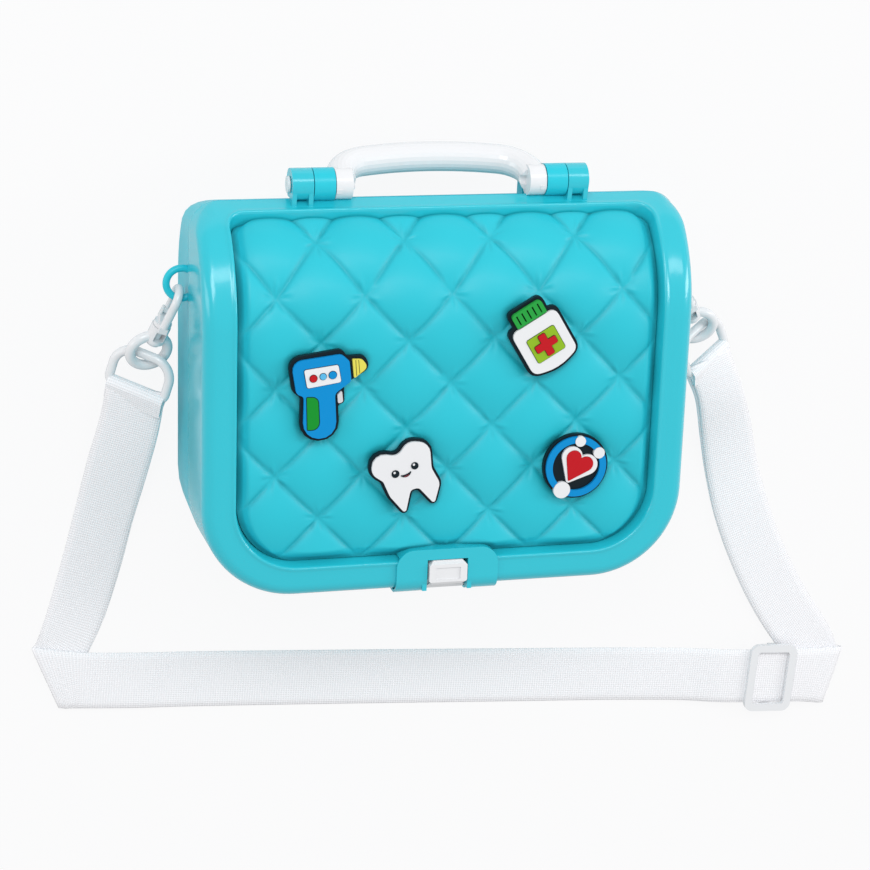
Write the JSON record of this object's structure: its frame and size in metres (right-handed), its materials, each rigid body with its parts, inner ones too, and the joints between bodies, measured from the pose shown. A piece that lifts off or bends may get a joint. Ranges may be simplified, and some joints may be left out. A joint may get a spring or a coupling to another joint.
{
  "type": "toy doctor case",
  "caption": "Purse-shaped toy doctor case with a quilted hinged cover, swing handle, spring latch, push-in charms and a clip-on webbing strap.",
  "frame": {"origin": "centre of the flat back face of the rear shell, which the case rests on", "axes": "+X to the right seen from the front, +Y towards the handle, +Z out of the quilted cover"},
  "size_m": [0.4463, 0.3252, 0.0889],
  "materials": {
    "teal": "smooth moulded plastic, turquoise",
    "white": "glossy white plastic",
    "navy": "dark navy, soft sheen",
    "blue": "glossy",
    "yellow": "glossy",
    "green": "glossy",
    "lime": "glossy",
    "red": "glossy",
    "grey": "satin",
    "webbing": "woven polyester webbing, ribbed"
  },
  "bodies": {
    "case": {"rear_shell": "teal", "latch_pin": "white", "hinge_pin_left": "white", "hinge_pin_right": "white", "swivel_left": "white", "swivel_right": "white", "strap_ring_left": "white", "strap_ring_right": "white", "strap": "webbing", "strap_return": "webbing"},
    "cover": {"cover_frame": "teal", "hinge_ear_left": "teal", "hinge_ear_right": "teal", "quilted_panel": "teal", "latch_boss": "teal"},
    "handle": {"handle": "white"},
    "latch": {"latch_tongue": "white"},
    "hook_left": {"hook_left": "white"},
    "hook_right": {"hook_right": "white"},
    "gate_left": {"gate_left": "white"},
    "gate_right": {"gate_right": "white"},
    "slider": {"strap_slider": "white"},
    "thermometer": {"thermometer_base": "navy", "thermometer_body": "blue", "thermometer_screen": "white", "thermometer_buttons": "red", "thermometer_nose": "yellow", "thermometer_grip": "green", "thermometer_trigger": "grey"},
    "bottle": {"bottle_base": "navy", "bottle_body": "white", "bottle_cap": "green", "bottle_label": "lime", "bottle_cross": "red"},
    "tooth": {"tooth_base": "navy", "tooth_enamel": "white", "tooth_face": "navy"},
    "badge": {"badge_base": "navy", "badge_ring": "blue", "badge_border": "white", "badge_heart": "red", "badge_dots": "white"}
  },
  "joints": [
    {"name": "cover_hinge", "type": "hinge", "parent": "case", "child": "cover", "pos_m": [0, 0.1008, 0.04615], "axis": [-1, 0, 0], "range_deg": [0, 95]},
    {"name": "handle_swing", "type": "hinge", "parent": "case", "child": "handle", "pos_m": [0, 0.1008, 0.04615], "axis": [1, 0, 0], "range_deg": [0, 70]},
    {"name": "latch_flex", "type": "hinge", "parent": "case", "child": "latch", "pos_m": [0, -0.0906, 0.03], "axis": [1, 0, 0], "range_deg": [0, 4], "stiffness_Nm_per_rad": 0.6},
    {"name": "hook_swivel_left", "type": "hinge", "parent": "case", "child": "hook_left", "pos_m": [-0.13111, 0.03344, 0.03521], "axis": [-0.3276, -0.8624, -0.3859], "range_deg": [-12, 12]},
    {"name": "gate_spring_left", "type": "hinge", "parent": "hook_left", "child": "gate_left", "pos_m": [-0.12947, 0.03774, 0.03096], "axis": [0.9348, -0.3551, 0], "range_deg": [0, 20], "stiffness_Nm_per_rad": 0.02},
    {"name": "hook_swivel_right", "type": "hinge", "parent": "case", "child": "hook_right", "pos_m": [0.13414, 0.03488, 0.03521], "axis": [0.4599, -0.7997, -0.3859], "range_deg": [-12, 12]},
    {"name": "gate_spring_right", "type": "hinge", "parent": "hook_right", "child": "gate_right", "pos_m": [0.13184, 0.03886, 0.03096], "axis": [0.8669, 0.4985, 0], "range_deg": [0, 20], "stiffness_Nm_per_rad": 0.02},
    {"name": "slider_slide", "type": "slide", "parent": "case", "child": "slider", "axis": [0.9979, -0.0645, 0], "range_m": [-0.1, 0], "deforming": ["strap", "strap_return"]},
    {"name": "thermometer_pull", "type": "slide", "parent": "cover", "child": "thermometer", "axis": [0, 0, 1], "range_m": [0, 0.01]},
    {"name": "bottle_pull", "type": "slide", "parent": "cover", "child": "bottle", "axis": [0, 0, 1], "range_m": [0, 0.01]},
    {"name": "tooth_pull", "type": "slide", "parent": "cover", "child": "tooth", "axis": [0, 0, 1], "range_m": [0, 0.01]},
    {"name": "badge_pull", "type": "slide", "parent": "cover", "child": "badge", "axis": [0, 0, 1], "range_m": [0, 0.01]}
  ]
}
